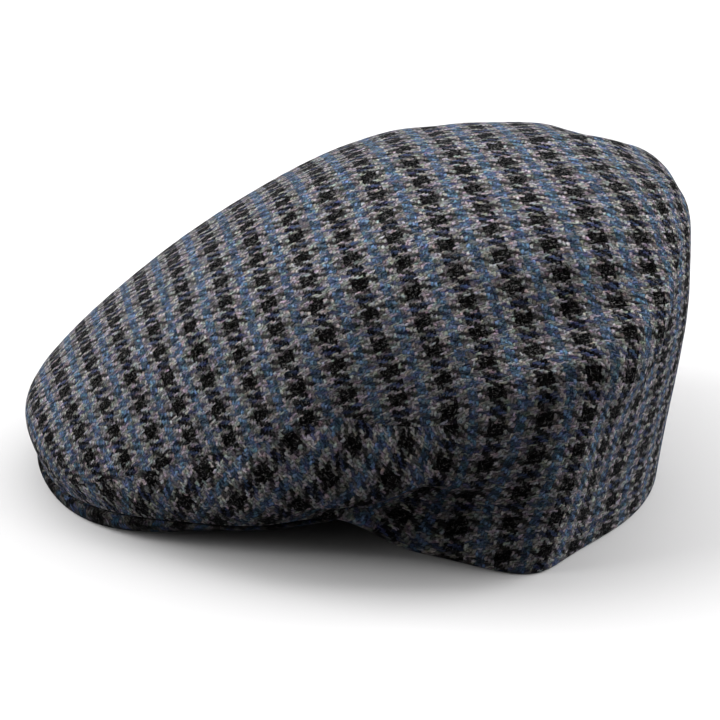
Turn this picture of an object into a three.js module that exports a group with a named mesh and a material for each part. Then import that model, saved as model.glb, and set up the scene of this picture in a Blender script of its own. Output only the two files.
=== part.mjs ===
// A flat cap of checked tweed, resting by itself on a table: a one-piece cloth crown on a
// cloth-covered peak. Millimetres, +Z up, peak towards -Y, the wearer's left towards +X.
// The origin is at the middle of the footprint, on the table.
import * as THREE from 'three';

// Driving sizes
const clothThickness = 2.4;   // tweed and its backing
const levelRimAngle = 115;    // degrees from the front at which the rim comes down to the table and stays
const seamGap = 0.3;          // air between the crown's edge and the peak under it
const peakOverhang = 1.5;     // how far the peak's bound edge stands out past the crown's edge
const templeTuck = 20;        // degrees over which that edge draws in under the crown at each temple
const peakBoard = 5;          // the peak's thickness at its inner edge: board, and cloth on both sides
const peakNose = 1.3;         // rounding of the peak's bound edge
const seatWidth = 4.5;        // level margin of the peak that carries the crown's edge
const peakEndAngle = 70;      // degrees from the front at which the peak ends, at the temples

const roundSteps = 72;        // crown facets around
const wallSteps = 22;         // crown facets from the edge to the pole
const peakSteps = (2 * peakEndAngle * roundSteps) / 360;   // peak facets, in line with the crown's

// Every crown section starts on one upright line, the pole line, and runs out and down to the edge.
const poleY = 25;
const poleHeight = 137.5;
const poleRise = 0.08;        // the crown still climbs this much per millimetre towards the back there

// Crown sections of one half, by degrees from the front: [reach from the pole line, height] at the
// edge, the fullest part of the side, the shoulder, the upper crown and the crown around the pole.
const crownSections = [
  { angle: 0, edge: [160, 10.5], bulge: [161.5, 26], shoulder: [151, 45], upper: [123, 73], inner: [66, 112.5] },
  { angle: 20, edge: [142, 9], bulge: [147.5, 26], shoulder: [138, 49], upper: [112, 79.5], inner: [62, 115] },
  { angle: 40, edge: [114, 16], bulge: [123, 31], shoulder: [113, 64], upper: [92, 95.5], inner: [52, 121.5] },
  { angle: 56, edge: [100, 23.5], bulge: [112, 36], shoulder: [104, 75], upper: [81, 107], inner: [45, 127] },
  { angle: 70, edge: [91.5, 28], bulge: [104, 39], shoulder: [97, 81], upper: [75, 114.5], inner: [40, 130.5] },
  { angle: 84, edge: [85.5, 13], bulge: [99, 42], shoulder: [92, 89], upper: [70, 120.5], inner: [38, 133] },
  { angle: 100, edge: [86, 3], bulge: [101, 58], shoulder: [94, 96], upper: [70, 123], inner: [38, 134] },
  { angle: 115, edge: [96, 0], bulge: [108, 74], shoulder: [99, 101], upper: [74, 126], inner: [40, 135.5] },
  { angle: 130, edge: [100, 0], bulge: [115, 83], shoulder: [107, 110], upper: [81, 129], inner: [42, 136.5] },
  { angle: 150, edge: [99, 0], bulge: [113.5, 91], shoulder: [107, 119], upper: [86, 134], inner: [44, 138.5] },
  { angle: 180, edge: [102, 0], bulge: [111.5, 93], shoulder: [107.5, 122], upper: [88, 138], inner: [46, 139.5] },
];
const sectionPlaces = [0, 0.16, 0.34, 0.56, 0.8, 1];   // places of the five columns and the pole on the way up

// Soft dents pressed into the cloth: degrees from the front (negative on the wearer's right), place on
// the way from edge to pole, how far each reaches both ways, and its depth.
const crownDents = [
  { name: 'back left shoulder', angle: 128, place: 0.36, angleReach: 18, placeReach: 0.1, depth: 5 },
  { name: 'back right top', angle: -122, place: 0.56, angleReach: 14, placeReach: 0.12, depth: 3 },
];

// Peak sections of one half: height of the outer edge's underside, then reach and underside height of
// the inner edge, which follows the front of the head opening.
const peakSections = [
  { angle: 0, outerHeight: 3.5, innerReach: 100, innerHeight: 21 },
  { angle: 20, outerHeight: 0, innerReach: 97.5, innerHeight: 20 },
  { angle: 40, outerHeight: 9, innerReach: 92, innerHeight: 21 },
  { angle: 56, outerHeight: 17.5, innerReach: 88, innerHeight: 22.5 },
  { angle: 70, outerHeight: 23, innerReach: 85, innerHeight: 24 },
  { angle: 84, outerHeight: 24, innerReach: 84, innerHeight: 24 },
];

// A cubic curve through all the values, with no bend or no slope at each end.
function smoothThrough(places, values, levelStart, levelEnd) {
  const last = places.length - 1;
  const gap = places.slice(1).map((place, i) => place - places[i]);
  const rise = gap.map((g, i) => (values[i + 1] - values[i]) / g);
  const diagonal = places.map((_, i) => (i === 0 || i === last ? 1 : 2 * (gap[i - 1] + gap[i])));
  const below = places.map((_, i) => (i === 0 || i === last ? 0 : gap[i - 1]));
  const above = places.map((_, i) => (i === 0 || i === last ? 0 : gap[i]));
  const bend = places.map((_, i) => (i === 0 || i === last ? 0 : 6 * (rise[i] - rise[i - 1])));
  if (levelStart) {
    diagonal[0] = 2 * gap[0];
    above[0] = gap[0];
    bend[0] = 6 * rise[0];
  }
  if (levelEnd) {
    diagonal[last] = 2 * gap[last - 1];
    below[last] = gap[last - 1];
    bend[last] = -6 * rise[last - 1];
  }
  for (let i = 1; i <= last; i += 1) {
    const factor = below[i] / diagonal[i - 1];
    diagonal[i] -= factor * above[i - 1];
    bend[i] -= factor * bend[i - 1];
  }
  bend[last] /= diagonal[last];
  for (let i = last - 1; i >= 0; i -= 1) bend[i] = (bend[i] - above[i] * bend[i + 1]) / diagonal[i];
  return (place) => {
    let i = 0;
    while (i < last - 1 && place > places[i + 1]) i += 1;
    const a = (places[i + 1] - place) / gap[i];
    const b = (place - places[i]) / gap[i];
    const curve = ((a ** 3 - a) * bend[i] + (b ** 3 - b) * bend[i + 1]) * gap[i] ** 2 / 6;
    return a * values[i] + b * values[i + 1] + curve;
  };
}

// One curve over the angle for each number of a table's rows.
function curvesByAngle(rows, numbersOf) {
  const angles = rows.map((row) => row.angle);
  const columns = numbersOf(rows[0]).map((_, k) => rows.map((row) => numbersOf(row)[k]));
  return columns.map((values) => smoothThrough(angles, values, true, true));
}

const crownCurves = curvesByAngle(crownSections, (row) => [
  ...row.edge, ...row.bulge, ...row.shoulder, ...row.upper, ...row.inner,
]);
const peakCurves = curvesByAngle(peakSections, (row) => [row.outerHeight, row.innerReach, row.innerHeight]);

// A point at an angle from the front, a reach from the pole line and a height.
function atPole(degrees, reach, height) {
  const angle = THREE.MathUtils.degToRad(degrees);
  return new THREE.Vector3(reach * Math.sin(angle), poleY - reach * Math.cos(angle), height);
}

// The crown's outer section at one angle: reach and height as curves of the place from edge to pole.
function crownSection(degrees) {
  const numbers = crownCurves.map((curve) => curve(Math.abs(degrees)));
  const forward = poleRise * Math.cos(THREE.MathUtils.degToRad(degrees));
  const reaches = [numbers[0], numbers[2], numbers[4], numbers[6], numbers[8], 0];
  const edgeHeight = Math.abs(degrees) < levelRimAngle ? Math.max(numbers[1], 0) : 0;
  const heights = [edgeHeight, numbers[3], numbers[5], numbers[7], numbers[9], poleHeight];
  const levelled = heights.map((height, i) => height + forward * reaches[i]);
  const reachAt = smoothThrough(sectionPlaces, reaches, false, false);
  const levelAt = smoothThrough(sectionPlaces, levelled, false, true);
  return (place) => {
    let dent = 0;
    for (const row of crownDents) {
      const turned = THREE.MathUtils.euclideanModulo(degrees - row.angle + 180, 360) - 180;
      const away = (turned / row.angleReach) ** 2 + ((place - row.place) / row.placeReach) ** 2;
      dent += row.depth * Math.exp(-away);
    }
    const reach = reachAt(place);
    return atPole(degrees, reach - dent, levelAt(place) - forward * reach - 0.7 * dent);
  };
}

// Directions out of the cloth, from neighbouring points of the section and of the ones beside it.
function clothNormal(degrees, place) {
  const step = 0.01;
  const low = Math.max(place - step, 0);
  const high = Math.min(place + step, 1 - step);
  const up = crownSection(degrees)(high).sub(crownSection(degrees)(low));
  const around = crownSection(wrapped(degrees + 1))(place).sub(crownSection(wrapped(degrees - 1))(place));
  return around.cross(up).normalize();
}

// An angle brought back between -180 and 180 degrees.
function wrapped(degrees) {
  return THREE.MathUtils.euclideanModulo(degrees + 180, 360) - 180;
}

// A closed body from a list of points and a list of triangles of point numbers.
function bodyFrom(points, triangles) {
  const geometry = new THREE.BufferGeometry();
  geometry.setAttribute('position', new THREE.Float32BufferAttribute(points.flatMap((p) => p.toArray()), 3));
  geometry.setIndex(triangles);
  geometry.computeVertexNormals();
  return geometry;
}

// Two triangles between four corners, given counter-clockwise as seen from outside.
function quad(a, b, c, d) {
  return [a, b, c, a, c, d];
}

// The crown: rings of points on the outside of the cloth, then on the inside, joined by the edge's lip.
function crownGeometry() {
  const angles = Array.from({ length: roundSteps }, (_, i) => wrapped((i * 360) / roundSteps));
  const places = Array.from({ length: wallSteps }, (_, j) => j / wallSteps);
  const outside = places.map((place) => angles.map((angle) => crownSection(angle)(place)));
  const inside = places.map((place, j) => angles.map((angle, i) => {
    const inward = j === 0 ? atPole(angle, 1, 0).sub(atPole(angle, 0, 0)) : clothNormal(angle, place);
    return outside[j][i].clone().addScaledVector(inward, -clothThickness);
  }));
  const outerPole = atPole(0, 0, poleHeight);
  const innerPole = atPole(0, 0, poleHeight - clothThickness);
  const points = [...outside.flat(), outerPole, ...inside.flat(), innerPole];
  const insideStart = roundSteps * wallSteps + 1;
  const triangles = [];
  for (let i = 0; i < roundSteps; i += 1) {
    const next = (i + 1) % roundSteps;
    for (let j = 0; j < wallSteps - 1; j += 1) {
      const low = j * roundSteps;
      const high = low + roundSteps;
      triangles.push(...quad(low + i, low + next, high + next, high + i));
      const innerLow = insideStart + low;
      const innerHigh = insideStart + high;
      triangles.push(...quad(innerLow + next, innerLow + i, innerHigh + i, innerHigh + next));
    }
    const top = (wallSteps - 1) * roundSteps;
    triangles.push(top + i, top + next, insideStart - 1);
    triangles.push(insideStart + top + next, insideStart + top + i, points.length - 1);
    triangles.push(...quad(insideStart + i, insideStart + next, next, i));
  }
  return bodyFrom(points, triangles);
}

// One section of the peak: out along the underside, round the bound edge and back over the top.
function peakSection(degrees) {
  const turn = Math.abs(degrees);
  const [outerHeight, innerReach, innerHeight] = peakCurves.map((curve) => curve(turn));
  const drawnIn = THREE.MathUtils.smoothstep(turn, peakEndAngle - templeTuck, peakEndAngle);
  const outerReach = crownCurves[0](turn) + peakOverhang * (1 - drawnIn);
  const under = Math.max(outerHeight, 0);
  const seat = crownCurves[1](turn) - seamGap;
  const middle = (innerReach + outerReach - seatWidth) / 2;
  return [
    [innerReach, innerHeight],
    [middle, (innerHeight + under) / 2 + 1.5],
    [outerReach - seatWidth, under + 1],
    [outerReach - peakNose, under],
    [outerReach, under + peakNose],
    [outerReach, seat - peakNose],
    [outerReach - peakNose, seat],
    [outerReach - seatWidth, seat],
    [middle, (innerHeight + peakBoard + seat) / 2 + 1.5],
    [innerReach, innerHeight + peakBoard],
  ].map(([reach, height]) => atPole(degrees, reach, height));
}

// The peak: its sections from the right temple to the left, with a flat end at each temple.
function peakGeometry() {
  const sections = Array.from({ length: peakSteps + 1 }, (_, i) => (
    peakSection(peakEndAngle * (2 * i / peakSteps - 1))
  ));
  const corners = sections[0].length;
  const points = sections.flat();
  const triangles = [];
  for (let i = 0; i < peakSteps; i += 1) {
    for (let k = 0; k < corners; k += 1) {
      const here = i * corners + k;
      const beside = i * corners + ((k + 1) % corners);
      triangles.push(...quad(beside, here, here + corners, beside + corners));
    }
  }
  const lastStart = peakSteps * corners;
  for (let k = 0; k < corners / 2 - 1; k += 1) {
    const across = corners - 1 - k;
    triangles.push(...quad(k, k + 1, across - 1, across));
    triangles.push(...quad(lastStart + across, lastStart + across - 1, lastStart + k + 1, lastStart + k));
  }
  return bodyFrom(points, triangles);
}

function crown() {
  const tweed = new THREE.MeshStandardMaterial({ color: 0x5a5f68, roughness: 0.95, metalness: 0 });
  const mesh = new THREE.Mesh(crownGeometry(), tweed);
  mesh.name = 'crown';
  return mesh;
}

function peak() {
  const tweed = new THREE.MeshStandardMaterial({ color: 0x4c5058, roughness: 0.95, metalness: 0 });
  const mesh = new THREE.Mesh(peakGeometry(), tweed);
  mesh.name = 'peak';
  return mesh;
}

const cap = new THREE.Group();
cap.name = 'flat_cap';
cap.add(crown(), peak());
export default cap;
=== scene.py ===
import bpy
import numpy as np
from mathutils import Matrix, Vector


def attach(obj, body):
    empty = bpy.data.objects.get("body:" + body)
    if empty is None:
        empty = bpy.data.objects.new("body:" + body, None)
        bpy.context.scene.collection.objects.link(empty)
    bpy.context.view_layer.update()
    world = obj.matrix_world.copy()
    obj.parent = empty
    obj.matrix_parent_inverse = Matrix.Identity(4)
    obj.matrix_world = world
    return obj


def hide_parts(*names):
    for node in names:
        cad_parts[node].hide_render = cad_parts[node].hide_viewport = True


# A flat cap of checked wool tweed, resting by itself on a table. The frame is in metres and shapes are
# worked out in millimetres: +Z up, peak towards -Y, the wearer's left towards +X.
mm = 0.001
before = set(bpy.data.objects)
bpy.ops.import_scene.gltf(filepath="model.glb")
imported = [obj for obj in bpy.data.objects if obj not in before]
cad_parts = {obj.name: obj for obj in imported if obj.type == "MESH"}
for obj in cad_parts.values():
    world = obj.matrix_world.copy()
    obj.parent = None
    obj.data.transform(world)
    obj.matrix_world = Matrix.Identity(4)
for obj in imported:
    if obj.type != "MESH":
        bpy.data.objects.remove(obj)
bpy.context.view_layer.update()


# an S curve from 0 to 1 between low and high: three times t squared less two times t cubed
def easeStep(low, high, x):
    t = np.clip((x - low) / (high - low), 0, 1)
    return t * t * (3 - 2 * t)


# cubic curve through values at places, each column on its own, with the bends at the places found from the
# rule that slopes run on. at is one list of places for all columns, or a grid with its own places in each
# column. An end is unbent unless it is asked to be level.
def smoothThrough(places, values, at, levelStart=False, levelEnd=False):
    places, values, at = (np.asarray(x, float) for x in (places, values, at))
    gap = np.diff(places)
    rise = np.diff(values, axis=0) / gap[:, None]
    count = len(places)
    rule = np.eye(count)
    bend = np.zeros(values.shape)
    inner = np.arange(1, count - 1)
    rule[inner, inner] = 2 * (gap[:-1] + gap[1:])
    rule[inner, inner - 1] = gap[:-1]
    rule[inner, inner + 1] = gap[1:]
    bend[1:-1] = 6 * np.diff(rise, axis=0)
    if levelStart:
        rule[0, :2] = 2 * gap[0], gap[0]
        bend[0] = 6 * rise[0]
    if levelEnd:
        rule[-1, -2:] = gap[-1], 2 * gap[-1]
        bend[-1] = -6 * rise[-1]
    bend = np.linalg.solve(rule, bend)
    at = at[:, None] + np.zeros(values.shape[1]) if at.ndim == 1 else at
    i = np.clip(np.searchsorted(places, at, side="right") - 1, 0, count - 2)
    column = np.arange(values.shape[1])[None, :]
    # the usual spline formula: the chord between two places, and a cubic that bends it
    a = (places[i + 1] - at) / gap[i]
    b = 1 - a
    curve = ((a**3 - a) * bend[i, column] + (b**3 - b) * bend[i + 1, column]) * gap[i] ** 2 / 6
    return a * values[i, column] + b * values[i + 1, column] + curve


# vectors over their own length
def unit(vectors):
    return vectors / np.linalg.norm(vectors, axis=-1, keepdims=True)


# unit normals of a grid of points whose rows close: the step along the rows crossed with the step up the
# columns
def gridNormals(points):
    around = np.roll(points, -1, 1) - np.roll(points, 1, 1)
    return unit(np.cross(around, np.gradient(points, axis=0)))


# the four corners of each quad of a grid, in the order of the quad's points
def quadCorners(grid):
    return np.stack([grid[:-1, :-1], grid[:-1, 1:], grid[1:, 1:], grid[1:, :-1]], 2)


# gentle unevenness: root two times the mean of several cosine waves that run in random directions through
# space, 0.6 to 1.5 of them to the wave length
def unevenness(points, waveLength, seed, waves):
    draw = np.random.default_rng(seed)
    way = draw.normal(size=(waves, 3))
    way *= 2 * np.pi / waveLength / np.linalg.norm(way, axis=1, keepdims=True)
    way *= draw.uniform(0.6, 1.5, (waves, 1))
    return np.cos(points @ way.T + draw.uniform(0, 2 * np.pi, waves)).mean(-1) * np.sqrt(2)


# a mesh from points, quads and triangles, with one UV per face corner in units of the cloth's repeat
def makePiece(name, points, faces, corners, materials, materialIndex):
    mesh = bpy.data.meshes.new(name)
    mesh.from_pydata((points * mm).tolist(), [], faces)
    layer = mesh.uv_layers.new(name="cloth")
    layer.data.foreach_set("uv", np.asarray(corners, np.float32).ravel())
    for material in materials:
        mesh.materials.append(material)
    mesh.polygons.foreach_set("material_index", np.asarray(materialIndex, np.int32))
    mesh.polygons.foreach_set("use_smooth", np.ones(len(faces), bool))
    mesh.update()
    mesh.validate()
    piece = bpy.data.objects.new(name, mesh)
    bpy.context.scene.collection.objects.link(piece)
    return piece


crown = {
    "poleY": 25, "poleHeight": 137.5, "poleRise": 0.08,   # the upright line that every section starts on
    "levelRimAngle": 115,       # degrees from the front at which the rim comes down to the table
    "thickness": 2.4,           # tweed and its backing
    "around": 420,              # columns around
    "rowsOutside": 132,         # rows from rim to top
    "rowsInside": 60,
    "rowsRoll": 6,              # rows round the rolled edge
    # soft waves, ripples and tufts in the cloth: length and depth in millimetres, seed, how many cosines
    "uneven": ((46, 0.55, 3, 14), (15, 0.16, 5, 30), (4.5, 0.12, 7, 40)),
    "evenEdge": 0.1,            # part of the way at the rim and at the pole over which they fade out
    "foldGroove": 0.7, "foldWidth": 0.014,      # millimetres deep; part of the way up wide
    "grooveFadeIn": (14, 30), "grooveFadeOut": (85, 105),       # degrees from the front
    "creaseStart": 0.06,        # creases fade in over this part of the way up
    "edgeStep": 0.002,          # a small step up the way, to find how fast the surface leaves the edge
    "rollCloth": 2.16,          # cloth on the rolled edge, in rows of the outside
}
# crown sections of one half, by degrees from the front: reach from the pole line and height at the edge,
# the fullest part of the side, the shoulder, the upper crown and the crown around the pole
crownSections = (
    # angle  edge          bulge        shoulder      upper        inner
    (0, (157.8, 8.4), (162.2, 28), (152.3, 46), (123.8, 73.6), (66, 112.5)),
    (20, (144, 8.6), (148, 26.5), (137.5, 48), (112, 79.5), (62, 115)),
    (40, (115.5, 13.8), (123, 31), (113, 64), (92, 95.5), (52, 121.5)),
    (56, (100.5, 18.5), (112, 36), (104, 75), (81, 107), (45, 127)),
    (70, (90, 22.2), (104, 39), (97, 81), (75, 114.5), (40, 130.5)),
    (84, (80.5, 7.5), (99, 42), (92, 89), (70, 120.5), (38, 133)),
    (100, (84, 1.6), (101, 58), (94, 96), (70, 123), (38, 134)),
    (115, (96.5, 0), (108, 74), (99, 101), (74, 126), (40, 135.5)),
    (130, (97.6, 0), (115, 83), (107, 110), (81, 129), (42, 136.5)),
    (150, (100.7, 0), (114, 91), (107, 119), (86, 134), (44, 138.5)),
    (180, (104.4, 0), (111, 92), (107.8, 122), (88, 136.5), (46, 139.5)),
)
sectionPlaces = (0, 0.16, 0.34, 0.56, 0.8, 1)   # places of the five columns and the pole on the way up
# soft dents: degrees from the front, place on the way up, reach both ways, depth in millimetres (a negative
# one bulges) and how much of it the cloth also sinks
crownDents = (
    {"angle": 128, "place": 0.36, "angleReach": 18, "placeReach": 0.1, "depth": 5, "sink": 0.7},
    {"angle": -118, "place": 0.56, "angleReach": 14, "placeReach": 0.12, "depth": 1.6, "sink": 0.7},
    {"angle": -149, "place": 0.55, "angleReach": 10, "placeReach": 0.1, "depth": 4.1, "sink": 1.0},
    {"angle": -172, "place": 0.44, "angleReach": 26, "placeReach": 0.06, "depth": -1.6, "sink": 0.7},
    {"angle": 172, "place": 0.12, "angleReach": 20, "placeReach": 0.05, "depth": -1.6, "sink": 0.0},
)
# corners that stand out at the rim, one on each side
crownCorners = {"angle": 118.5, "angleReach": 5.5, "placeReach": 0.14, "depth": 4}
# creases: the cloth drops in just below a line of (degrees from the front, place on the way up), most at
# drop below it, and comes back slowly; it fades in and out between the degrees given
crownCreases = (
    {"line": ((60, 0.12), (74, 0.133), (83.5, 0.151), (92, 0.148), (99.5, 0.115), (112, 0.09)),
     "drop": 0.05, "depth": 9, "fadeIn": (60, 76), "fadeOut": (98, 114), "bothSides": True},
    {"line": ((120, 0.155), (127, 0.151), (134, 0.141), (141.5, 0.142), (145.5, 0.16), (150, 0.21),
              (165, 0.3)),
     "drop": 0.055, "depth": 3.2, "fadeIn": (124, 134), "fadeOut": (152, 170), "bothSides": False},
)
# the fold along each side where the cloth changes its grain: degrees from the front, place on the way up
foldLine = (
    (0, 0.02), (12, 0.02), (30, 0.17), (42, 0.23), (60, 0.275), (70, 0.295), (82, 0.27), (95, 0.235),
    (107, 0.2), (128, 0.15), (150, 0.15), (180, 0.15),
)
foldRow = 0.25     # the row parameter that lies on that line


# places on the way up of a line at the given angles: a cubic curve through its points
def linePlaces(line, angles, level=False):
    line = np.array(line, float)
    return smoothThrough(line[:, 0], line[:, 1:], angles, level, level)[None, :, 0]


# the table's values at any angle, alike on both sides: cubic curves over the angle, level at front and back
def sectionsAt(angles):
    rows = np.array([[row[0], *np.ravel(row[1:])] for row in crownSections], float)
    return smoothThrough(rows[:, 0], rows[:, 1:], np.abs(angles), True, True)


# place on the way up of each grid point: rows below foldRow share out the way up to the fold line, and the
# others share out the rest
def placesOnCrown(angles, rows):
    fold = linePlaces(foldLine, np.abs(angles), True)
    rows = rows[:, None]
    above = fold + (1 - fold) * (rows - foldRow) / (1 - foldRow)
    return np.where(rows < foldRow, fold * rows / foldRow, above)


# points of the crown's outside: at each angle, reach and height are cubic curves through the section's
# columns and the pole. Bell-shaped dents, the corners at the rim, the creases and the fold's groove are then
# taken off the reach or added to it.
def crownSurface(angles, places):
    columns = sectionsAt(angles)
    turned = np.radians(angles)
    reaches = np.vstack([columns[:, 0::2].T, 0 * turned])
    edgeHeight = np.where(np.abs(angles) < crown["levelRimAngle"], np.maximum(columns[:, 1], 0), 0)
    heights = np.vstack([edgeHeight, columns[:, 3::2].T, 0 * turned + crown["poleHeight"]])
    forward = crown["poleRise"] * np.cos(turned)
    reach = smoothThrough(sectionPlaces, reaches, places)
    height = smoothThrough(sectionPlaces, heights + forward * reaches, places, levelEnd=True)
    height = height - forward * reach
    for dent in crownDents:
        off = (angles[None, :] - dent["angle"] + 180) % 360 - 180
        up = (places - dent["place"]) / dent["placeReach"]
        press = dent["depth"] * np.exp(-(off / dent["angleReach"]) ** 2 - up**2)
        reach = reach - press
        height = height - dent["sink"] * press
    off = np.abs(np.abs(angles) - crownCorners["angle"]) / crownCorners["angleReach"]
    up = places / crownCorners["placeReach"]
    reach = reach + crownCorners["depth"] * np.exp(1 - np.sqrt(1 + off**2) - up**2)
    for crease in crownCreases:
        turn = np.abs(angles) if crease["bothSides"] else angles
        below = np.maximum(linePlaces(crease["line"], turn) - places, 0) / crease["drop"]
        fade = easeStep(*crease["fadeIn"], turn) * (1 - easeStep(*crease["fadeOut"], turn))
        fade = fade * easeStep(0, crown["creaseStart"], places)
        reach = reach - fade * crease["depth"] * below * np.exp(1 - below)
    around = np.abs(angles)
    off = (places - linePlaces(foldLine, around, True)) / crown["foldWidth"]
    fade = easeStep(*crown["grooveFadeIn"], around) * (1 - easeStep(*crown["grooveFadeOut"], around))
    reach = reach - crown["foldGroove"] * fade * np.exp(-(off**2))
    return np.stack([reach * np.sin(turned), crown["poleY"] - reach * np.cos(turned), height], -1)


# how the cloth lies: its position along (across the columns) and across (down them), in millimetres
grain = {
    "topTurn": 13,             # degrees that the cloth is turned on the top
    "lowHeight": 10, "highHeight": 75,   # millimetres up between which the low turn becomes the high one
    "steepFrom": 0.5, "steepTo": 0.12,   # upward part of the normal where the side's own turn takes over
    "fanFrom": 0.95, "fanTo": 0.72,      # and where the cloth fans out on its way down the front
    "backSeamTop": 0.5,        # place on the way up where the seam at the back ends
    "foldEnd": 100,            # degrees from the front where the fold has run out
    "sideFrom": (80, 97),      # degrees over which the side's own turn takes over above the fold
    "backFrom": (135, 165), "poleReach": (20, 75), "backLoss": 0.9,   # the back, off the pole, counts less
    "frontFrom": (16, 6), "frontLoss": 0.99,     # and the cloth below the fold at the front hardly counts
    "columns": 96, "rows": 28,           # the coarse grid that it is laid over
    "solveSteps": 400,                   # steps of the solver in each round
    "rounds": 4, "follow": 0.3,          # rounds of evening out, and how far each follows the last
    "repeatAlong": 18.1, "repeatAcross": 14.5,   # the check's repeat, millimetres
    "shift": (0.27, 0.11),  # where the check starts, in repeats
}
grainTurns = np.array([
    # degrees from the front; column turn high up and low down, row turn; fan of columns and rows;
    # column spacing; row spacing on the top, the side and below the fold
    (0, 0, 0, 0, 0, 0, 1.14, 1.05, 1.0, 0.8),
    (24, -36, -32, -42, 7, 30, 1.14, 1.05, 1.0, 0.8),
    (50, -54, -50, -58, 7, 32, 1.06, 1.08, 1.0, 0.8),
    (70, -43, -42, -52, 2, 24, 1.0, 1.15, 1.0, 0.8),
    (85, -32, -38, -42, -2, 8, 1.0, 1.33, 0.95, 0.8),
    (100, -3, -12, -5, -8, 0, 1.0, 1.34, 0.88, 0.85),
    (113, 9, -12, 6, -14, 0, 1.0, 1.34, 0.88, 0.9),
    (123, 18, 15, 15, -14, 0, 1.0, 1.34, 0.88, 0.93),
    (133, 35, 40, 35, -8, 0, 1.0, 1.32, 0.9, 1.0),
    (143, 45, 58, 57, 0, 0, 1.0, 1.25, 0.95, 1.0),
    (180, 90, 90, 90, 0, 0, 1.0, 1.2, 1.0, 1.0),
], float)


# the values at which a net of springs balances the pull on its nodes, by conjugate gradients
def relax(springs, pull, value):
    first, second, stiffness = springs
    count = len(pull)
    own = np.bincount(first[first == second], stiffness[first == second], count)
    own[own == 0] = 1
    tiny = 1e-30    # keeps a division by zero away

    # the net's pull on its nodes at values x: stiffness times value, summed over the springs
    def strain(x):
        return np.bincount(first, stiffness * x[second], count)

    left = pull - strain(value)
    step = left / own
    gain = left @ step
    for _ in range(grain["solveSteps"]):
        push = strain(step)
        length = gain / max(step @ push, tiny)
        value = value + length * step
        left = left - length * push
        last, gain = gain, left @ (left / own)
        step = left / own + gain / max(last, tiny) * step
    return value


# a coarse net over the crown: nodes and the triangles between them, with every quad split both ways. Where
# the fold or the seam at the back is open there are two nodes, one for the cloth on either side.
def clothNet(angles, rows, foldAt):
    places = placesOnCrown(angles, rows)
    points = crownSurface(angles, places)
    pole = np.array([0, crown["poleY"], crown["poleHeight"]])
    number = np.arange(points.shape[0] * points.shape[1]).reshape(points.shape[:2])
    poleNumber = number.size
    closed = places[:, -1] >= grain["backSeamTop"]
    number[closed, -1] = number[closed, 0]
    below, above = number[: foldAt + 1].copy(), number[foldAt:].copy()
    folded = np.abs(angles) < grain["foldEnd"]
    above[0, folded] = poleNumber + 1 + np.arange(folded.sum())
    nodes = np.vstack([points.reshape(-1, 3), pole, points[foldAt, folded]])
    split = []
    for part in (below, above):
        a, b, c, d = part[:-1, :-1], part[:-1, 1:], part[1:, 1:], part[1:, :-1]
        halves = ((a, b, c), (a, c, d), (a, b, d), (b, c, d))
        split.append(np.stack([np.stack(half, -1) for half in halves]).reshape(-1, 3))
    cap = np.stack([above[-1, :-1], above[-1, 1:], np.full(len(angles) - 1, poleNumber)], 1)
    triangles = np.vstack([*split, cap, cap])    # those at the pole count twice, as the others do
    return nodes, triangles, np.arange(len(triangles)) < len(split[0]), below, above, poleNumber


# what is wanted of the cloth on each triangle: a direction in plan and a spacing for its columns and for its
# rows, read from the table by the angle from the front and blended by how steep the surface is; and how much
# the triangle counts, which is its area less what the table takes off
def wantedGrain(middle, normal, area, isBelow):
    spoke = np.degrees(np.arctan2(middle[:, 0], crown["poleY"] - middle[:, 1]))
    around = np.abs(spoke)
    side = np.sign(spoke)
    wanted = [np.interp(around, grainTurns[:, 0], column) for column in grainTurns[:, 1:].T]
    turnHigh, turnLow, turnOfRows, fanOfColumns, fanOfRows, spread = wanted[:6]
    topSpacing, sideSpacing, lowSpacing = wanted[6:]
    high = np.clip((middle[:, 2] - grain["lowHeight"]) / (grain["highHeight"] - grain["lowHeight"]), 0, 1)
    steep = 1 - easeStep(grain["steepTo"], grain["steepFrom"], normal[:, 2])
    inFold = around < grain["foldEnd"]
    steep = np.where(inFold & isBelow, 1, steep)
    steep = np.where(inFold & ~isBelow, steep * easeStep(*grain["sideFrom"], around), steep)
    sideTurn = side * (turnLow + (turnHigh - turnLow) * high)
    fan = side * easeStep(-grain["fanFrom"], -grain["fanTo"], -normal[:, 2])
    columnTurn = np.radians((grain["topTurn"] - fan * fanOfColumns) * (1 - steep) + steep * sideTurn)
    rowTurn = np.radians((grain["topTurn"] - fan * fanOfRows) * (1 - steep) + steep * side * turnOfRows)
    rowSpacing = topSpacing * (1 - steep) + steep * np.where(isBelow, lowSpacing, sideSpacing)
    columnSpacing = 1 + (spread - 1) * np.abs(fan)
    fromPole = easeStep(*grain["poleReach"], np.hypot(middle[:, 0], middle[:, 1] - crown["poleY"]))
    weight = area * (1 - grain["backLoss"] * easeStep(*grain["backFrom"], around) * fromPole)
    weight *= 1 - grain["frontLoss"] * easeStep(*grain["frontFrom"], around) * isBelow
    flat = 0 * columnTurn
    columns = np.stack([-np.sin(columnTurn), np.cos(columnTurn), flat], 1)
    rows = np.stack([np.cos(rowTurn), np.sin(rowTurn), flat], 1)
    return ((columns, columnSpacing), (rows, rowSpacing)), weight


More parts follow.
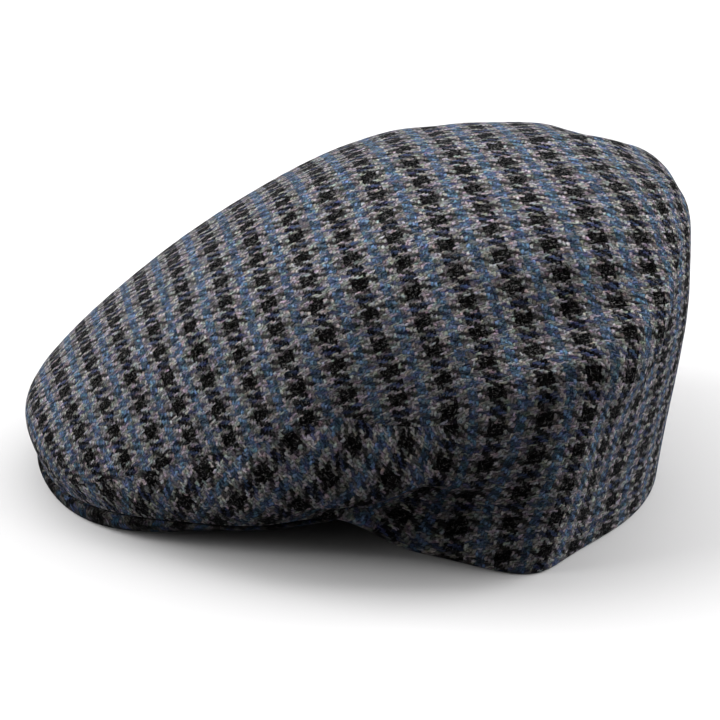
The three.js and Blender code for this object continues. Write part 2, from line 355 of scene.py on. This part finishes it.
# lays the cloth over the net. The direction wanted on each triangle is tipped on to the surface by the least
# turn; the position along the cloth is the one whose slope agrees best with it over the whole crown (least
# squares), evened out in a few rounds that each lean the directions towards the slopes found.
def layCloth():
    angles = np.linspace(-180, 180, grain["columns"] + 1)
    rows = np.arange(grain["rows"]) / grain["rows"]
    foldAt = int(round(foldRow * grain["rows"]))
    nodes, triangles, isBelow, below, above, poleNumber = clothNet(angles, rows, foldAt)
    corner = nodes[triangles]
    normal = np.cross(corner[:, 1] - corner[:, 0], corner[:, 2] - corner[:, 0])
    area = np.linalg.norm(normal, axis=1)
    normal /= area[:, None]
    opposite = np.roll(corner, -2, 1) - np.roll(corner, -1, 1)
    slopes = np.cross(normal[:, None], opposite) / area[:, None, None]
    wanted, weight = wantedGrain(corner.mean(1), normal, area, isBelow)

    # the springs of the net: how a triangle's corners pull on one another, with the pole held at 0
    pair = np.einsum("tki,tli,t->tkl", slopes, slopes, weight).ravel()
    first = triangles[:, :, None].repeat(3, 2).ravel()
    second = triangles[:, None, :].repeat(3, 1).ravel()
    free = (first != poleNumber) & (second != poleNumber)
    key, place = np.unique(first[free] * len(nodes) + second[free], return_inverse=True)
    springs = (key // len(nodes), key % len(nodes), np.bincount(place, pair[free]))

    laid = []
    for way, length in wanted:
        tip = (way * normal).sum(1) / (1 + normal[:, 2])
        way = unit(way - tip[:, None] * (normal + np.array([0, 0, 1])))
        aim = way
        position = np.zeros(len(nodes))
        for _ in range(grain["rounds"] + 1):
            pull = np.zeros(len(nodes))
            np.add.at(pull, triangles, np.einsum("tki,ti,t->tk", slopes, aim * length[:, None], weight))
            pull[poleNumber] = 0
            position = relax(springs, pull, position)
            slope = unit(np.einsum("tk,tki->ti", position[triangles], slopes))
            aim = unit((1 - grain["follow"]) * way + grain["follow"] * slope)
        laid.append((position[below], position[above]))
    return angles, rows, foldAt, laid


# cloth position over the fine grid: cubic curves through the coarse grid, first up the rows and then around;
# the part above the fold ends on the pole, where both positions are 0
def clothOnGrid(cloth, angles, rows, isBelow):
    coarseAngles, coarseRows, foldAt, laid = cloth
    found = []
    for below, above in laid:
        if isBelow:
            up = smoothThrough(coarseRows[: foldAt + 1], below, rows)
        else:
            up = smoothThrough(
                np.append(coarseRows[foldAt:], 1), np.vstack([above, np.zeros(len(coarseAngles))]), rows)
        found.append(smoothThrough(coarseAngles, up.T, angles).T)
    scale = np.array([grain["repeatAlong"], grain["repeatAcross"]])
    return np.stack(found, -1) / scale + grain["shift"]


# the crown as one closed shell: rows up the outside, the rolled edge, rows up the inside, and both poles
def buildCrown(materials):
    count = crown["around"]
    angles = np.linspace(-180, 180, count + 1)
    below = int(round(foldRow * crown["rowsOutside"]))
    rows = np.concatenate([
        np.linspace(0, foldRow, below + 1),
        np.linspace(foldRow, 1, crown["rowsOutside"] - below + 1)[1:-1],
    ])
    radius = crown["thickness"] / 2
    places = placesOnCrown(angles, rows)
    # the rows start a little way up, which leaves room for the rolled edge
    foot = crownSurface(angles, np.array([[0.0], [crown["edgeStep"]]]) + 0 * angles)
    start = radius * crown["edgeStep"] / np.linalg.norm(foot[1] - foot[0], axis=-1)
    places = start + (1 - start) * places
    outside = crownSurface(angles, places)[:, :-1]
    normal = gridNormals(outside)
    wave = sum(
        depth * unevenness(outside, length, seed, waves) for length, depth, seed, waves in crown["uneven"])
    wave *= easeStep(0, crown["evenEdge"], rows)[:, None]
    wave *= easeStep(1, 1 - crown["evenEdge"], rows)[:, None]
    outside = outside + normal * wave[..., None]
    normal = gridNormals(outside)

    # rolled edge: a half circle from the outside round under the cloth to the inside
    down = outside[0] - outside[1]
    down = unit(down - (down * normal[0]).sum(-1, keepdims=True) * normal[0])
    turn = np.linspace(0, np.pi, crown["rowsRoll"] + 2)[1:-1, None, None]
    roll = outside[0] + radius * (normal[0] * (np.cos(turn) - 1) + down * np.sin(turn))

    insideRows = np.linspace(0, 1, crown["rowsInside"] + 1)[:-1]
    insidePlaces = start + (1 - start) * placesOnCrown(angles, insideRows)
    insideOuter = crownSurface(angles, insidePlaces)[:, :-1]
    inside = insideOuter - gridNormals(insideOuter) * crown["thickness"]
    inside[0] = outside[0] - normal[0] * crown["thickness"]

    # from the inside pole, down the inside, round the edge and up the outside
    ring = np.concatenate([inside[::-1], roll[::-1], outside])
    total = len(ring)
    pole = np.array([0, crown["poleY"], crown["poleHeight"]])
    points = np.vstack([ring.reshape(-1, 3), pole, pole - (0, 0, crown["thickness"])])
    outerPole, innerPole = total * count, total * count + 1
    column = np.arange(count)
    nextColumn = (column + 1) % count
    row = np.arange(total - 1)[:, None] * count
    quads = np.stack([row + column, row + nextColumn, row + count + nextColumn, row + count + column], -1)
    last = (total - 1) * count
    outerCap = np.stack([last + column, last + nextColumn, np.full(count, outerPole)], -1)
    innerCap = np.stack([nextColumn, column, np.full(count, innerPole)], -1)
    faces = quads.reshape(-1, 4).tolist() + outerCap.tolist() + innerCap.tolist()

    # cloth positions: rows of faces below the fold read one lay of the cloth, those above it the other
    cloth = layCloth()
    firstOutside = len(inside) + len(roll)
    uvBelow = clothOnGrid(cloth, angles, rows[: below + 1], True)
    uvAbove = clothOnGrid(cloth, angles, rows[below:], False)
    uvInside = clothOnGrid(cloth, angles, insideRows[::-1], False)
    rollDown = np.linspace(1, 0, len(roll) + 1)[:-1, None, None]
    uvRoll = uvBelow[0] + (uvBelow[0] - uvBelow[1]) * rollDown * crown["rollCloth"]
    uvLower = np.concatenate([uvInside, uvRoll, uvBelow])
    uvUpper = np.concatenate([uvLower[:firstOutside + below], uvAbove])
    useUpper = np.arange(total - 1) >= firstOutside + below
    uv = []
    for grid in (uvLower, uvUpper):
        grid = np.concatenate([grid, grid[-1:].repeat(total - len(grid), 0)])
        uv.append(quadCorners(grid))
    corners = np.where(useUpper[:, None, None, None], uv[1], uv[0])
    topUv = uvUpper[-1]
    poleUv = 0 * topUv[1:] + grain["shift"]
    outerUv = np.stack([topUv[:-1], topUv[1:], poleUv], 1)
    innerUv = np.stack([uvInside[0, 1:], uvInside[0, :-1], poleUv], 1)
    corners = np.concatenate([corners.reshape(-1, 2), outerUv.reshape(-1, 2), innerUv.reshape(-1, 2)])
    isInside = np.repeat(np.arange(total - 1) < len(inside), count)
    index = np.concatenate([isInside, np.zeros(count, bool), np.ones(count, bool)])
    return makePiece("crownCloth", points, faces, corners, materials, index)


peak = {
    "endAngle": 70,             # degrees from the front at which it ends, at the temples
    "overhang": 1.2,            # how far its bound edge stands out past the crown's edge
    "undercut": 0.8,            # how far that edge slopes in on its way down
    "templeTuck": 20,           # degrees over which that edge draws in under the crown
    "board": 5,                 # thickness at the inner edge
    "nose": 1.3,                # rounding of the bound edge
    "noseLimit": 0.4,           # and the most of the edge's height that one rounding takes
    "seatWidth": 4.5,           # level margin that carries the crown's edge
    "seamGap": 0.3,             # air between it and the crown's edge
    "arch": 1.5,                # rise of its middle over a straight line
    "footRise": 1,              # rise of the underside a margin behind the edge's foot
    "endRound": 2,              # degrees over which each end closes
    "around": 240, "profile": 60,       # sections, and points round each
}
peakSections = np.array([
    # degrees from the front, height of the outer edge's underside, reach and height of the inner edge
    (0, 3, 100, 21),
    (20, 0, 97.5, 20),
    (40, 9.3, 92, 21),
    (56, 16, 88, 21.5),
    (70, 20.5, 85, 22.5),
    (84, 24, 84, 24),
], float)


# closed section curves (reach, height) of the peak at the given angles: a cubic B-spline round ten corners,
# which run from the inner edge along the underside, round the bound edge and back over the top. The bound
# edge slopes in half as much at the temples.
def peakProfiles(angles, steps):
    values = smoothThrough(peakSections[:, 0], peakSections[:, 1:], np.abs(angles), True)
    edge = sectionsAt(angles)[:, :2]
    under = np.maximum(values[:, 0], 0)
    inner, innerHeight = values[:, 1], values[:, 2]
    drawIn = easeStep(peak["endAngle"] - peak["templeTuck"], peak["endAngle"], np.abs(angles))
    outer = edge[:, 0] + peak["overhang"] * (1 - drawIn)
    seat = np.maximum(edge[:, 1], 0) - peak["seamGap"]
    nose = np.minimum(peak["nose"], peak["noseLimit"] * (seat - under))
    margin = peak["seatWidth"]
    foot = outer - peak["undercut"] * (1 - 0.5 * drawIn)
    middle = (inner + outer - margin) / 2
    underMiddle = (innerHeight + under) / 2 + peak["arch"]
    topMiddle = (innerHeight + peak["board"] + seat) / 2 + peak["arch"]
    corners = np.array([
        (inner, innerHeight), (middle, underMiddle), (foot - margin, under + peak["footRise"]),
        (foot - nose, under), (foot, under + nose), (outer, seat - nose), (outer - nose, seat),
        (outer - margin, seat), (middle, topMiddle), (inner, innerHeight + peak["board"]),
    ])
    t = np.arange(steps) / steps * len(corners)
    first = t.astype(int)
    u = (t - first)[:, None, None]
    weights = ((1 - u) ** 3, 3 * u**3 - 6 * u**2 + 4, -3 * u**3 + 3 * u**2 + 3 * u + 1, u**3)
    return sum(w / 6 * corners[(first + k) % len(corners)] for k, w in enumerate(weights))


# the peak as a closed tube of sections from temple to temple, drawn together to a point at each end like a
# quarter circle
def buildPeak(materials):
    steps, count = peak["profile"], peak["around"]
    s = np.linspace(-1, 1, count + 1)[1:-1]
    angles = peak["endAngle"] * np.sin(s * np.pi / 2)
    section = peakProfiles(angles, steps)
    middle = section.mean(0, keepdims=True)
    nearEnd = np.clip((np.abs(angles) - peak["endAngle"]) / peak["endRound"] + 1, 0, 1)
    shrink = np.sqrt(1 - nearEnd**2)
    section = middle + (section - middle) * shrink[None, None, :]
    reach, height = section[:, 0], section[:, 1]
    turned = np.radians(angles)
    plan = np.stack([np.sin(turned), -np.cos(turned)], -1)
    points = np.concatenate([reach[..., None] * plan + (0, crown["poleY"]), height[..., None]], -1)
    ends = points[:, [0, -1]].mean(0)
    ends[:, 0] = middle[0, 0, 0] * np.sin(np.radians(peak["endAngle"])) * np.array([-1, 1])
    ends[:, 1] = crown["poleY"] - middle[0, 0, 0] * np.cos(np.radians(peak["endAngle"]))
    everyPoint = np.vstack([points.reshape(-1, 3), ends])
    columns = len(angles)
    around = np.arange(steps)
    nextAround = (around + 1) % steps
    column = np.arange(columns - 1)
    a = around[:, None] * columns + column
    b = nextAround[:, None] * columns + column
    quads = np.stack([a, a + 1, b + 1, b], -1).reshape(-1, 4)
    first, second = around * columns, nextAround * columns
    leftEnd, rightEnd = (np.full(steps, len(everyPoint) - back) for back in (2, 1))
    capLeft = np.stack([second, leftEnd, first], -1)
    capRight = np.stack([first + columns - 1, rightEnd, second + columns - 1], -1)
    faces = quads.tolist() + capLeft.tolist() + capRight.tolist()

    # cloth position: the section unrolled from its inner edge over the top and round the nose, then laid
    # out in plan; the underside is a second piece of cloth, cut the same way
    front = section[:, :, columns // 2]
    lengths = np.linalg.norm(np.diff(front, axis=0, append=front[:1]), axis=1)
    run = np.concatenate([[0], np.cumsum(lengths)])
    run = run[-1] - run
    unrolled = (section[:, 0].min(0)[None] + run[:, None])[..., None] * plan
    unrolled = unrolled / np.array([grain["repeatAlong"], grain["repeatAcross"]])
    corners = quadCorners(unrolled)
    left = np.stack([unrolled[1:, 0], unrolled[1:, 0], unrolled[:-1, 0]], 1)
    right = np.stack([unrolled[:-1, -1], unrolled[:-1, -1], unrolled[1:, -1]], 1)
    corners = np.concatenate([corners.reshape(-1, 2), left.reshape(-1, 2), right.reshape(-1, 2)])
    return makePiece("peakCloth", everyPoint, faces, corners, materials, np.zeros(len(faces), int))


# a node with its values and links given by socket name
def addNode(tree, kind, inputs=(), **settings):
    node = tree.nodes.new(kind)
    for name, value in settings.items():
        setattr(node, name, value)
    for name, value in dict(inputs).items():
        if isinstance(value, bpy.types.NodeSocket):
            tree.links.new(value, node.inputs[name])
        else:
            node.inputs[name].default_value = value
    return node


# the result of one Math node: an operation on numbers or sockets
def calc(tree, operation, *values, clamp=False):
    node = addNode(tree, "ShaderNodeMath", dict(enumerate(values)), operation=operation, use_clamp=clamp)
    return node.outputs[0]


# number a turned towards number b by factor
def blendValue(tree, factor, a, b):
    return addNode(tree, "ShaderNodeMix", {0: factor, 2: a, 3: b}).outputs[0]


# number moved from one range to another, and held inside it
def ranged(tree, value, before, after):
    ends = {"From Min": before[0], "From Max": before[1], "To Min": after[0], "To Max": after[1]}
    return addNode(tree, "ShaderNodeMapRange", {"Value": value, **ends}).outputs[0]


# a vector or a colour times a number
def scaled(tree, vector, factor):
    return addNode(tree, "ShaderNodeVectorMath", {0: vector, "Scale": factor}, operation="SCALE").outputs[0]


# colour a turned towards colour b by factor; a plain mix unless how says otherwise
def blendColour(tree, factor, a, b, how="MIX"):
    node = tree.nodes.new("ShaderNodeMix")
    node.data_type = "RGBA"
    node.blend_type = how
    for socket, value in ((node.inputs[0], factor), (node.inputs[6], a), (node.inputs[7], b)):
        if isinstance(value, bpy.types.NodeSocket):
            tree.links.new(value, socket)
        else:
            socket.default_value = value
    return node.outputs[2]


# the yarns' look, the same in every cloth; a pair with By in its name is a factor and what is then added
yarnLook = {
    "sways": ((0.16, 1.2), (0.7, 1.2), (1.9, 0.9), (4.5, 0.45)),    # waves to a yarn, and depth in yarns
    "accentBand": (0.643, 0.1),         # middle and half width of the accent band, in repeats
    "twill": 4.0,                       # yarns to a repeat of the twill, two up and two down
    "archPart": 0.55, "roundPart": 0.45,    # a float's height from its arch and from the yarn's roundness
    "columnSeenBy": (0.8, 0.1),         # how far a column hides the row, by being on top
    "darkProud": 0.05, "accentProud": 0.26,     # and how much more a dark or an accent column does
    "shadeByChance": (1.0, 0.45), "paintedShadeByHeight": (1.2, 0.25),     # each float's own shade, and painted shade along it, darker towards its edges and ends
    "fibreRange": (0.28, 0.72), "fibreShade": (0.2, 1.95),          # fibre noise, and the shade it gives
    "contrast": 1.3,                    # power that the shade is raised to
    "drawnOut": (2.2, 0.7),             # fibre noise across and along the yarn, to a yarn
    "fibreNoise": {"Scale": 1.0, "Detail": 3.0, "Roughness": 0.7},
    "mixNoise": {"Scale": 0.55, "Detail": 2.0},                     # the wool's several colours
    "mixStrength": 0.6, "mixSaturation": 0.8, "mixBrightness": 2.0,
    "hairNoise": {"Scale": 0.8, "Detail": 2.0, "Roughness": 0.6, "Distortion": 0.6},
    "hairRange": (0.56, 0.68),          # noise over which a pale hair comes in
    "fibreRelief": 0.5,                 # fibres' part in the relief, beside the float's height
    "roughnessBy": (0.2, 0.75),
    "sheenTint": (0.75, 0.8, 0.9, 1),
}


# the woven check: a two-up two-down twill of coloured yarns. Along and across are yarn counts; a column
# yarn is on top where (column - across) mod 4 is below the column share, and each yarn's colour comes from
# its place in the repeat of dark, ground, accent, ground
def makeTweedGroup():
    tree = bpy.data.node_groups.new("checkedTweed", "ShaderNodeTree")
    sockets = (
        ("Lay", "NodeSocketVector", None), ("Yarns", "NodeSocketFloat", 14.0),
        ("Column Share", "NodeSocketFloat", 2.05),
        ("Dark", "NodeSocketColor", (0.0019, 0.0018, 0.0018, 1)),
        ("Ground", "NodeSocketColor", (0.096, 0.0915, 0.094, 1)),
        ("Column Accent", "NodeSocketColor", (0.032, 0.052, 0.084, 1)),
        ("Row Accent", "NodeSocketColor", (0.016, 0.021, 0.042, 1)),
        ("Fleck", "NodeSocketColor", (0.155, 0.149, 0.147, 1)),
        ("Dark Share", "NodeSocketFloat", 0.33), ("Flecks", "NodeSocketFloat", 0.5),
        ("Wobble", "NodeSocketFloat", 1.0),
    )
    for name, kind, value in sockets:
        socket = tree.interface.new_socket(name, in_out="INPUT", socket_type=kind)
        if value is not None:
            socket.default_value = value
    outputs = {"Color": "NodeSocketColor", "Height": "NodeSocketFloat", "Roughness": "NodeSocketFloat"}
    for name, kind in outputs.items():
        tree.interface.new_socket(name, in_out="OUTPUT", socket_type=kind)
    given = tree.nodes.new("NodeGroupInput").outputs
    result = tree.nodes.new("NodeGroupOutput")

    # the yarns sway slowly and their fibres stray quickly
    yarnSpace = scaled(tree, given["Lay"], given["Yarns"])
    moved = yarnSpace
    for noiseScale, depth in yarnLook["sways"]:
        noise = {"Vector": yarnSpace, "Scale": noiseScale, "Detail": 1.0}
        sway = addNode(tree, "ShaderNodeTexNoise", noise).outputs["Color"]
        sway = addNode(tree, "ShaderNodeVectorMath", {0: sway, 1: (0.5, 0.5, 0.5)}, operation="SUBTRACT")
        sway = scaled(tree, sway.outputs[0], calc(tree, "MULTIPLY", given["Wobble"], depth))
        moved = addNode(tree, "ShaderNodeVectorMath", {0: moved, 1: sway}, operation="ADD").outputs[0]
    part = addNode(tree, "ShaderNodeSeparateXYZ", {0: moved})
    along, across = part.outputs[0], part.outputs[1]
    column, row = calc(tree, "FLOOR", along), calc(tree, "FLOOR", across)
    inColumn, inRow = calc(tree, "FRACT", along), calc(tree, "FRACT", across)
    diagonal = calc(tree, "SUBTRACT", column, across)
    phase = calc(tree, "FLOORED_MODULO", diagonal, yarnLook["twill"])
    columnOnTop = calc(tree, "LESS_THAN", phase, given["Column Share"])

    # rounded yarns: a half sine across the yarn, and a half sine along each float
    heightColumn = calc(tree, "SINE", calc(tree, "MULTIPLY", inColumn, np.pi))
    heightRow = calc(tree, "SINE", calc(tree, "MULTIPLY", inRow, np.pi))
    alongColumn = calc(tree, "DIVIDE", phase, given["Column Share"])
    rowShare = calc(tree, "SUBTRACT", yarnLook["twill"], given["Column Share"])
    alongRow = calc(tree, "DIVIDE", calc(tree, "SUBTRACT", yarnLook["twill"], phase), rowShare)
    floatHeight = []
    for roundness, run in ((heightColumn, alongColumn), (heightRow, alongRow)):
        arch = calc(tree, "SINE", calc(tree, "MULTIPLY", run, np.pi))
        roundness = calc(tree, "MULTIPLY", roundness, yarnLook["roundPart"])
        floatHeight.append(calc(tree, "MULTIPLY_ADD", arch, yarnLook["archPart"], roundness))
    height = blendValue(tree, columnOnTop, floatHeight[1], floatHeight[0])

    # which band of the repeat a yarn is in, and the colour of that band: its place is its number modulo the
    # yarns in a repeat; dark comes first, and the accent is centred further on
    def yarnColour(yarn, accent):
        place = calc(tree, "DIVIDE", calc(tree, "FLOORED_MODULO", yarn, given["Yarns"]), given["Yarns"])
        isDark = calc(tree, "LESS_THAN", place, given["Dark Share"])
        isAccent = calc(tree, "COMPARE", place, *yarnLook["accentBand"])
        banded = blendColour(tree, isAccent, given["Ground"], given[accent])
        return blendColour(tree, isDark, banded, given["Dark"]), isDark, isAccent

    # the yarn on top hides most of the one under it; accent and dark columns stand a little proud
    rowColour = yarnColour(row, "Row Accent")[0]
    columnColour, columnDark, columnAccent = yarnColour(column, "Column Accent")
    seenColumn = calc(tree, "MULTIPLY_ADD", columnOnTop, *yarnLook["columnSeenBy"])
    seenColumn = calc(tree, "MULTIPLY_ADD", columnDark, yarnLook["darkProud"], seenColumn)
    seenColumn = calc(tree, "MULTIPLY_ADD", columnAccent, yarnLook["accentProud"], seenColumn, clamp=True)
    colour = blendColour(tree, seenColumn, rowColour, columnColour)

    # every float is a little lighter or darker than its neighbours
    floatNumber = calc(tree, "FLOOR", calc(tree, "DIVIDE", diagonal, yarnLook["twill"]))
    rowNumber = calc(tree, "ADD", row, 500.5)    # rows are numbered apart from columns
    yarnNumber = blendValue(tree, columnOnTop, rowNumber, column)
    seedVector = addNode(tree, "ShaderNodeCombineXYZ", {0: yarnNumber, 1: floatNumber}).outputs[0]
    chance = addNode(tree, "ShaderNodeTexWhiteNoise", {"Vector": seedVector}, noise_dimensions="3D").outputs
    shade = calc(tree, "MULTIPLY_ADD", chance["Value"], *yarnLook["shadeByChance"])

    # fibres: fine noise drawn out along the yarn that is on top; the edges of yarns and floats are painted
    # darker, as shade in the gaps between them
    acrossYarn, alongYarn = yarnLook["drawnOut"]
    ways = {}    # by socket of the Mix node: 4 is a row on top and 5 a column
    for socket, scale in ((5, (acrossYarn, alongYarn, 1)), (4, (alongYarn, acrossYarn, 1))):
        ways[socket] = addNode(tree, "ShaderNodeMapping", {"Vector": moved, "Scale": scale}).outputs[0]
    stretch = addNode(tree, "ShaderNodeMix", {0: columnOnTop, **ways}, data_type="VECTOR").outputs[1]
    fibre = addNode(tree, "ShaderNodeTexNoise", {"Vector": stretch, **yarnLook["fibreNoise"]}).outputs[0]
    fibreShade = ranged(tree, fibre, yarnLook["fibreRange"], yarnLook["fibreShade"])
    shade = calc(tree, "MULTIPLY", shade, fibreShade)
    # painted shade: the colour darkens where the float is low, at the yarns' edges and the floats' ends
    paintedGapShade = calc(tree, "MULTIPLY_ADD", height, *yarnLook["paintedShadeByHeight"])
    shade = calc(tree, "POWER", calc(tree, "MULTIPLY", shade, paintedGapShade), yarnLook["contrast"])
    shaded = scaled(tree, colour, shade)

    # yarns are spun from wool of several colours
    mixed = addNode(tree, "ShaderNodeTexNoise", {"Vector": moved, **yarnLook["mixNoise"]}).outputs["Color"]
    mixed = addNode(tree, "ShaderNodeHueSaturation", {
        "Color": mixed, "Saturation": yarnLook["mixSaturation"], "Value": 1.0}).outputs[0]
    mixed = scaled(tree, mixed, yarnLook["mixBrightness"])
    shaded = blendColour(tree, yarnLook["mixStrength"], shaded, mixed, "MULTIPLY")

    # pale hairs lying in the yarns
    heather = addNode(tree, "ShaderNodeTexNoise", {"Vector": stretch, **yarnLook["hairNoise"]}).outputs[0]
    isHair = ranged(tree, heather, yarnLook["hairRange"], (0, 1))
    shaded = blendColour(tree, calc(tree, "MULTIPLY", isHair, given["Flecks"]), shaded, given["Fleck"])
    relief = calc(tree, "MULTIPLY_ADD", fibre, yarnLook["fibreRelief"], height)
    roughness = calc(tree, "MULTIPLY_ADD", fibre, *yarnLook["roughnessBy"])
    tree.links.new(shaded, result.inputs["Color"])
    tree.links.new(relief, result.inputs["Height"])
    tree.links.new(roughness, result.inputs["Roughness"])
    return tree


tweedGroup = makeTweedGroup()


# a cloth material: the tweed group on the piece's cloth UV map, a yarn-deep bump and a soft sheen
def makeCloth(name, look):
    material = bpy.data.materials.new(name)
    material.use_nodes = True
    tree = material.node_tree
    tree.nodes.clear()
    lay = addNode(tree, "ShaderNodeUVMap", uv_map="cloth").outputs[0]
    weave = addNode(tree, "ShaderNodeGroup", node_tree=tweedGroup)
    tree.links.new(lay, weave.inputs["Lay"])
    for socket, value in look["weave"].items():
        weave.inputs[socket].default_value = value
    bump = addNode(tree, "ShaderNodeBump", {
        "Height": weave.outputs["Height"], "Strength": look["bump"], "Distance": look["yarnDepth"]})
    shader = addNode(tree, "ShaderNodeBsdfPrincipled", {
        "Base Color": weave.outputs["Color"], "Roughness": weave.outputs["Roughness"],
        "Normal": bump.outputs[0], "Specular IOR Level": 0.0, "Sheen Weight": look["sheen"],
        "Sheen Roughness": look["sheenRoughness"], "Sheen Tint": yarnLook["sheenTint"]})
    output = addNode(tree, "ShaderNodeOutputMaterial")
    tree.links.new(shader.outputs[0], output.inputs[0])
    return material


crownTweed = {"bump": 0.8, "yarnDepth": 0.0004, "sheen": 0.07, "sheenRoughness": 0.16, "weave": {}}
insideTwill = {"bump": 0.6, "yarnDepth": 0.0004, "sheen": 0.1, "sheenRoughness": 0.4, "weave": {
    "Dark": (0.012, 0.012, 0.014, 1), "Ground": (0.024, 0.024, 0.026, 1),
    "Column Accent": (0.018, 0.021, 0.026, 1), "Row Accent": (0.018, 0.019, 0.023, 1), "Flecks": 0.05}}
# the peak's tweed is the crown's cloth painted much darker, with fewer pale hairs: painted shade on the
# bound edge, which lies under the crown's edge and faces down
peakShadedTweed = {"bump": 0.8, "yarnDepth": 0.0004, "sheen": 0.02, "sheenRoughness": 0.3, "weave": {
    "Ground": (0.022, 0.021, 0.021, 1), "Column Accent": (0.007, 0.014, 0.023, 1), "Flecks": 0.2}}

crownMaterial = makeCloth("crownTweed", crownTweed)
insideMaterial = makeCloth("insideTwill", insideTwill)
peakMaterial = makeCloth("peakShadedTweed", peakShadedTweed)
print("cloth materials made")

crownPiece = buildCrown([crownMaterial, insideMaterial])
print("crown made:", len(crownPiece.data.polygons), "faces")
peakPiece = buildPeak([peakMaterial])
print("peak made:", len(peakPiece.data.polygons), "faces")

for piece, node, slot in ((crownPiece, "crown", "crown_tweed"), (peakPiece, "peak", "peak_tweed")):
    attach(piece, "root")
    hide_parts(node)

# a pale table under soft light
studio = {
    "floorSize": 12.0, "floorColour": (0.467, 0.4645, 0.467, 1),
    "floorBounce": (0.11, 0.11, 0.113, 1),      # its colour for the light that it throws back on the cap
    "skyLight": 0.04, "backdrop": 0.95,         # the sky's strength as light, and as it is seen
    "aim": (0.0, 0.0, 0.04),                    # point that the softboxes face, metres
}
softboxes = (
    # place and size (across and up) in metres, power in watts
    {"name": "overheadSoftbox", "place": (-0.3, 0.0, 1.5), "size": (2.6, 0.9), "power": 40.0},
    {"name": "leftSoftbox", "place": (0.0, -1.25, 0.65), "size": (1.2, 1.0), "power": 38.0},
    {"name": "rightSoftbox", "place": (0.0, 1.25, 0.65), "size": (1.2, 1.0), "power": 33.0},
    {"name": "backSoftbox", "place": (-1.3, 0.0, 0.9), "size": (1.4, 0.8), "power": 3.0},
)


# a plain floor: one square at height 0, which looks paler than the light that it throws back
def makeFloor():
    half = studio["floorSize"] / 2
    mesh = bpy.data.meshes.new("tableTop")
    corners = [(-half, -half, 0), (half, -half, 0), (half, half, 0), (-half, half, 0)]
    mesh.from_pydata(corners, [], [(0, 1, 2, 3)])
    floor = bpy.data.objects.new("tableTop", mesh)
    bpy.context.scene.collection.objects.link(floor)
    material = bpy.data.materials.new("paleTable")
    material.use_nodes = True
    tree = material.node_tree
    shader = tree.nodes["Principled BSDF"]
    seen = addNode(tree, "ShaderNodeLightPath").outputs["Is Camera Ray"]
    colour = blendColour(tree, seen, studio["floorBounce"], studio["floorColour"])
    tree.links.new(colour, shader.inputs["Base Color"])
    shader.inputs["Roughness"].default_value = 0.9
    shader.inputs["Specular IOR Level"].default_value = 0.1
    mesh.materials.append(material)


makeFloor()


# the sky gives a weak even light; seen directly it is a pale backdrop
def makeSky():
    world = bpy.data.worlds.new("studioSky")
    bpy.context.scene.world = world
    world.use_nodes = True
    tree = world.node_tree
    background = tree.nodes["Background"]
    background.inputs["Color"].default_value = (1.0, 0.99, 0.995, 1)
    seen = addNode(tree, "ShaderNodeLightPath").outputs["Is Camera Ray"]
    strength = blendValue(tree, seen, studio["skyLight"], studio["backdrop"])
    tree.links.new(strength, background.inputs["Strength"])


# a rectangular softbox that faces the aim point
def makeSoftbox(box):
    lampData = bpy.data.lights.new(box["name"], "AREA")
    lampData.shape = "RECTANGLE"
    lampData.energy = box["power"]
    lampData.size, lampData.size_y = box["size"]
    lamp = bpy.data.objects.new(box["name"], lampData)
    lamp.location = box["place"]
    towards = Vector(studio["aim"]) - Vector(box["place"])
    lamp.rotation_euler = towards.to_track_quat("-Z", "Y").to_euler()
    bpy.context.scene.collection.objects.link(lamp)


makeSky()
for box in softboxes:
    makeSoftbox(box)

view = {"place": (0.844, 0.0033, 0.4963), "elevation": 28, "lens": 114.5}    # metres, degrees, millimetres
cameraData = bpy.data.cameras.new("camera")
cameraData.lens = view["lens"]
cameraData.clip_end = 50
camera = bpy.data.objects.new("camera", cameraData)
down = np.radians(view["elevation"])
camera.location = view["place"]
camera.rotation_euler = Vector((-np.cos(down), 0, -np.sin(down))).to_track_quat("-Z", "Y").to_euler()
bpy.context.scene.collection.objects.link(camera)
bpy.context.scene.camera = camera
bpy.context.scene.view_settings.view_transform = "Standard"
print("table, light and camera made")
